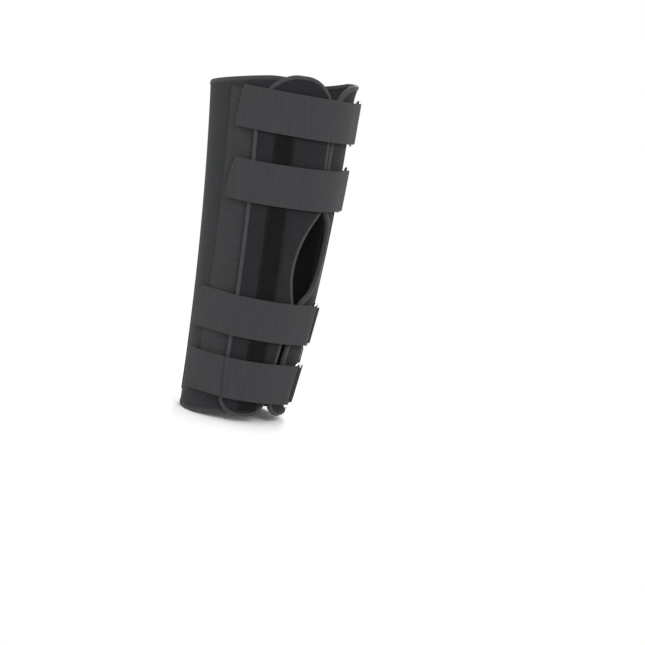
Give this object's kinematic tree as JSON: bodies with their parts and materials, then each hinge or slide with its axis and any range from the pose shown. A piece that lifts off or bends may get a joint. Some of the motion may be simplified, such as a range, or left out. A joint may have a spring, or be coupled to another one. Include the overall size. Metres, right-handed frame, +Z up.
{
  "type": "knee immobiliser brace",
  "caption": "Three-panel wrap knee brace: rear and two side panels with stays, open kneecap window, and broad straps that fold back through wire rings.",
  "frame": {"origin": "on the leg's axis, level with the lowest edge of the rear panel (calf end)", "axes": "+Z up the leg from calf to thigh, -Y out of the kneecap, -X to the outer (lateral) side of a right leg"},
  "size_m": [0.2148, 0.2196, 0.508],
  "materials": {
    "foam_laminate": "brushed loop fabric on foam, dark slate",
    "binding_tape": "soft folded edge tape, dark grey",
    "loop_strip": "unbroken loop strip, charcoal",
    "pile_strip": "close black pile",
    "webbing": "brushed loop strap, warm charcoal, matt",
    "hook_tape": "black nylon hooks",
    "stay_aluminium": "plain flat bar",
    "ring_steel": "bright plated wire"
  },
  "bodies": {
    "rear_panel": {"rear_foam": "foam_laminate", "rear_binding": "binding_tape", "rear_stay_lateral": "stay_aluminium", "rear_stay_medial": "stay_aluminium", "rear_stay_pocket_lateral": "pile_strip", "rear_stay_pocket_medial": "pile_strip", "landing_strip_lateral": "loop_strip", "landing_strip_medial": "loop_strip", "calf_band": "webbing"},
    "medial_side": {"medial_foam": "foam_laminate", "medial_binding": "binding_tape", "medial_stay": "stay_aluminium", "medial_stay_pocket": "pile_strip", "medial_hook_strip": "hook_tape", "strap_1_ring_keeper": "webbing", "strap_2_ring_keeper": "webbing", "strap_3_ring_keeper": "webbing", "strap_4_ring_keeper": "webbing"},
    "lateral_side": {"lateral_foam": "foam_laminate", "lateral_binding": "binding_tape", "lateral_stay": "stay_aluminium", "lateral_stay_pocket": "pile_strip", "lateral_hook_strip": "hook_tape"},
    "ring_1": {"strap_1_ring": "ring_steel"},
    "strap_1_body": {"strap_1": "webbing", "strap_1_hook_tab": "hook_tape", "strap_1_grip_tab": "hook_tape"},
    "ring_2": {"strap_2_ring": "ring_steel"},
    "strap_2_body": {"strap_2": "webbing", "strap_2_hook_tab": "hook_tape", "strap_2_grip_tab": "hook_tape"},
    "ring_3": {"strap_3_ring": "ring_steel"},
    "strap_3_body": {"strap_3": "webbing", "strap_3_hook_tab": "hook_tape", "strap_3_grip_tab": "hook_tape"},
    "ring_4": {"strap_4_ring": "ring_steel"},
    "strap_4_body": {"strap_4": "webbing", "strap_4_hook_tab": "hook_tape", "strap_4_grip_tab": "hook_tape"}
  },
  "joints": [
    {"name": "medial_side_open", "type": "hinge", "parent": "rear_panel", "child": "medial_side", "pos_m": [0.09336, -0.02532, 0.259], "axis": [0.0683, 0.0314, 0.9972], "range_deg": [0, 40]},
    {"name": "lateral_side_open", "type": "hinge", "parent": "rear_panel", "child": "lateral_side", "pos_m": [-0.08691, -0.0441, 0.259], "axis": [0.0578, 0.0126, -0.9982], "range_deg": [0, 20]},
    {"name": "ring_1_swing", "type": "hinge", "parent": "medial_side", "child": "ring_1", "pos_m": [0.09043, -0.07718, 0.45184], "axis": [0.0751, 0.0205, 0.997], "range_deg": [0, 40]},
    {"name": "strap_1_peel", "type": "hinge", "parent": "ring_1", "child": "strap_1_body", "pos_m": [0.08096, -0.08749, 0.45217], "axis": [0.0751, 0.0205, 0.997], "range_deg": [0, 110]},
    {"name": "ring_2_swing", "type": "hinge", "parent": "medial_side", "child": "ring_2", "pos_m": [0.08637, -0.07764, 0.35295], "axis": [0.0525, -0.0108, 0.9986], "range_deg": [0, 40]},
    {"name": "strap_2_peel", "type": "hinge", "parent": "ring_2", "child": "strap_2_body", "pos_m": [0.07693, -0.08798, 0.35306], "axis": [0.0525, -0.0108, 0.9986], "range_deg": [0, 110]},
    {"name": "ring_3_swing", "type": "hinge", "parent": "medial_side", "child": "ring_3", "pos_m": [0.04353, -0.09735, 0.15134], "axis": [0.0787, -0.0859, 0.9932], "range_deg": [0, 40]},
    {"name": "strap_3_peel", "type": "hinge", "parent": "ring_3", "child": "strap_3_body", "pos_m": [0.03058, -0.1026, 0.15213], "axis": [0.0787, -0.0859, 0.9932], "range_deg": [0, 110]},
    {"name": "ring_4_swing", "type": "hinge", "parent": "medial_side", "child": "ring_4", "pos_m": [0.02982, -0.09307, 0.06049], "axis": [0.0603, -0.1159, 0.9914], "range_deg": [0, 40]},
    {"name": "strap_4_peel", "type": "hinge", "parent": "ring_4", "child": "strap_4_body", "pos_m": [0.01627, -0.09652, 0.06118], "axis": [0.0603, -0.1159, 0.9914], "range_deg": [0, 110]}
  ],
  "couplings": [
    {"joint": "lateral_side_open", "follows": "medial_side_open", "ratio": 0.5}
  ]
}
